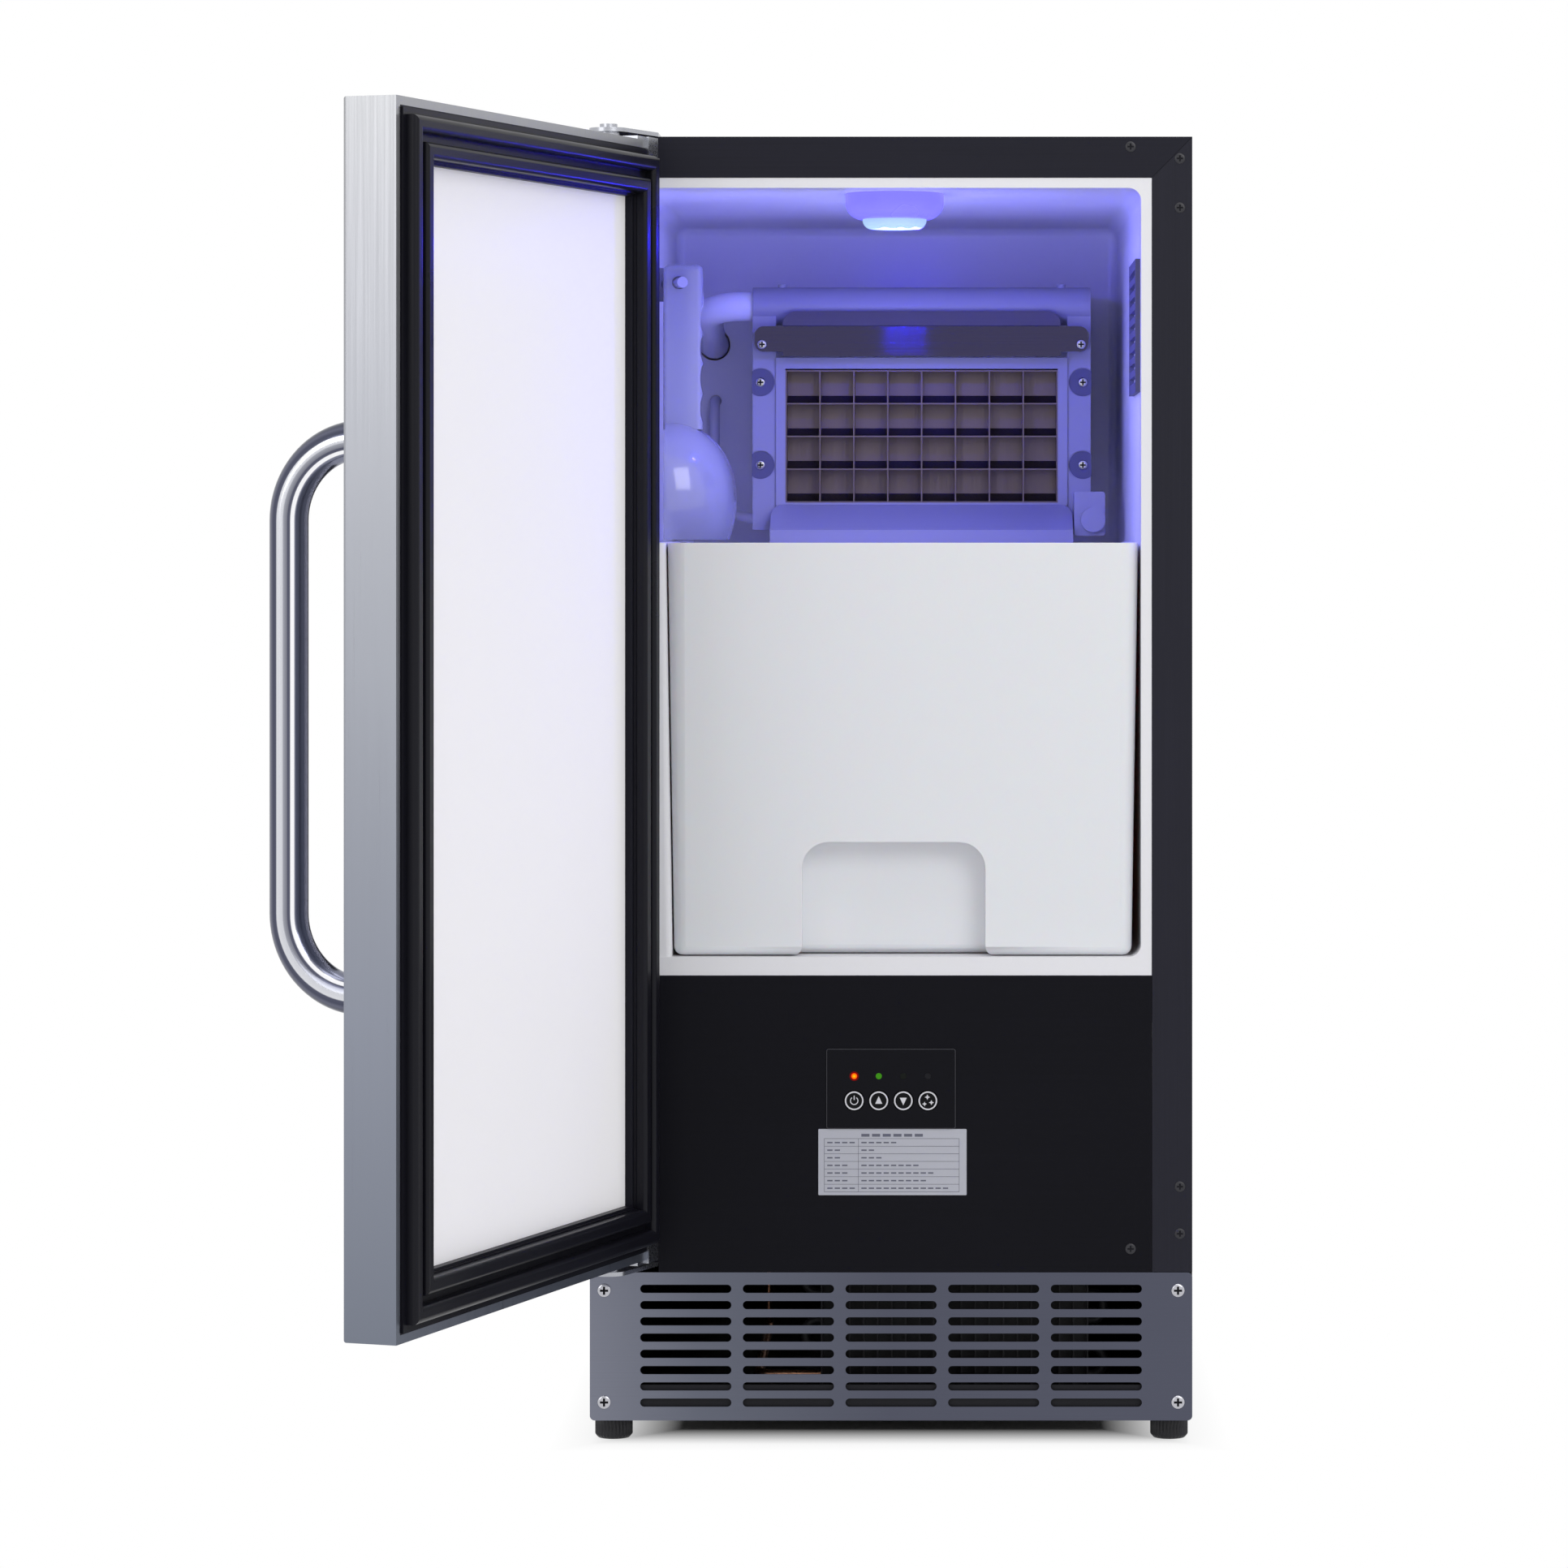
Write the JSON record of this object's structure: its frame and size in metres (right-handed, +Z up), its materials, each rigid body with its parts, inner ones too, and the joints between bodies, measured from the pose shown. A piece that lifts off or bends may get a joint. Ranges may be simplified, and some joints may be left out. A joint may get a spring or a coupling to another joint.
{
  "type": "undercounter ice maker",
  "caption": "Undercounter clear-ice maker with a hinged glass door, a lit ice cavity with cell evaporator, a pull-out bin and a scoop.",
  "frame": {"origin": "on the floor, below the middle of the cabinet's front face", "axes": "+X to the right seen from the front, +Y to the rear, +Z up"},
  "size_m": [0.5363, 0.9386, 0.8257],
  "materials": {
    "casing_black": "satin black coat",
    "galvanised": "galvanised",
    "grille_steel": "dark brushed",
    "black_screw": "satin",
    "bright_screw": "bright",
    "liner_white": "satin white",
    "foam": null,
    "overlay": "fine texture",
    "indicator": "lit indicators",
    "control_case": "matte",
    "lamp_body": "translucent",
    "lamp_lens": "lit lens",
    "white_plastic": "matte white",
    "plated_copper": "tin plated copper",
    "copper": "copper tube",
    "shield_steel": "satin",
    "hose": "silicone hose",
    "dark_plastic": "matte",
    "compressor_black": "gloss black paint",
    "black_rubber": "matte",
    "fin_aluminium": "mill finish",
    "valve_plastic": "matte",
    "zinc": "zinc plated",
    "door_steel": "vertical brush",
    "gasket_black": "soft gloss",
    "clear_glass": "clear",
    "spacer": "mill finish",
    "bin_plastic": "translucent white",
    "scoop_plastic": "translucent grey",
    "button_grey": "soft touch"
  },
  "bodies": {
    "cabinet": {"cabinet_wrapper": "casing_black", "rear_panel": "galvanised", "rear_access_panel": "galvanised", "base_tray": "galvanised", "top_trim": "casing_black", "left_trim": "casing_black", "right_trim": "casing_black", "lower_fascia": "casing_black", "kick_grille": "grille_steel", "black_screws": "black_screw", "steel_screws": "bright_screw", "cavity_liner": "liner_white", "foam_insulation": "foam", "control_overlay": "overlay", "indicator_lights": "indicator", "control_box": "control_case", "lamp_housing": "lamp_body", "lamp_lens": "lamp_lens", "side_vent": "white_plastic", "evaporator_frame": "white_plastic", "evaporator_grid": "plated_copper", "evaporator_coil": "copper", "distributor_tube": "white_plastic", "splash_shield": "shield_steel", "water_hoses": "hose", "water_trough": "white_plastic", "pump_motor": "dark_plastic", "sensor_box": "dark_plastic", "scoop_hook": "white_plastic", "compressor": "compressor_black", "compressor_grommets": "black_rubber", "condenser": "fin_aluminium", "fan_shroud": "dark_plastic", "fan_motor": "galvanised", "filter_drier": "copper", "refrigerant_pipes": "copper", "water_inlet_valve": "valve_plastic", "drain_spigot": "valve_plastic", "power_inlet": "dark_plastic", "hinge_plates": "zinc", "hinge_pins": "zinc"},
    "door": {"door_frame": "door_steel", "door_inner_frame": "dark_plastic", "door_gasket": "gasket_black", "glass_outer": "clear_glass", "glass_inner": "clear_glass", "glass_spacer": "spacer", "door_handle": "door_steel", "hinge_blocks": "zinc"},
    "bin": {"ice_bin": "bin_plastic"},
    "scoop": {"ice_scoop": "scoop_plastic"},
    "fan": {"fan_blades": "dark_plastic"},
    "button_1_body": {"button_1": "button_grey"},
    "button_2_body": {"button_2": "button_grey"},
    "button_3_body": {"button_3": "button_grey"},
    "button_4_body": {"button_4": "button_grey"},
    "foot_1_body": {"foot_1": "black_rubber"},
    "foot_2_body": {"foot_2": "black_rubber"},
    "foot_3_body": {"foot_3": "black_rubber"},
    "foot_4_body": {"foot_4": "black_rubber"}
  },
  "joints": [
    {"name": "door_hinge", "type": "hinge", "parent": "cabinet", "child": "door", "pos_m": [-0.175, -0.035, 0.4686], "axis": [0, 0, -1], "range_deg": [-109.45, 25]},
    {"name": "bin_slide", "type": "slide", "parent": "cabinet", "child": "bin", "axis": [0, -1, 0], "range_m": [0, 0.3]},
    {"name": "scoop_lift_off", "type": "slide", "parent": "cabinet", "child": "scoop", "axis": [0.342, -0.9397, 0], "range_m": [0, 0.45]},
    {"name": "fan_spin", "type": "hinge", "parent": "cabinet", "child": "fan", "pos_m": [0.04, 0.094, 0.1046], "axis": [0, 1, 0], "continuous": true},
    {"name": "button_1_press", "type": "slide", "parent": "cabinet", "child": "button_1_body", "axis": [0, 1, 0], "range_m": [0, 0.0008], "stiffness_N_per_m": 400},
    {"name": "button_2_press", "type": "slide", "parent": "cabinet", "child": "button_2_body", "axis": [0, 1, 0], "range_m": [0, 0.0008], "stiffness_N_per_m": 400},
    {"name": "button_3_press", "type": "slide", "parent": "cabinet", "child": "button_3_body", "axis": [0, 1, 0], "range_m": [0, 0.0008], "stiffness_N_per_m": 400},
    {"name": "button_4_press", "type": "slide", "parent": "cabinet", "child": "button_4_body", "axis": [0, 1, 0], "range_m": [0, 0.0008], "stiffness_N_per_m": 400},
    {"name": "foot_1_level", "type": "slide", "parent": "cabinet", "child": "foot_1_body", "axis": [0, 0, -1], "range_m": [0, 0.02]},
    {"name": "foot_2_level", "type": "slide", "parent": "cabinet", "child": "foot_2_body", "axis": [0, 0, -1], "range_m": [0, 0.02]},
    {"name": "foot_3_level", "type": "slide", "parent": "cabinet", "child": "foot_3_body", "axis": [0, 0, -1], "range_m": [0, 0.02]},
    {"name": "foot_4_level", "type": "slide", "parent": "cabinet", "child": "foot_4_body", "axis": [0, 0, -1], "range_m": [0, 0.02]}
  ]
}
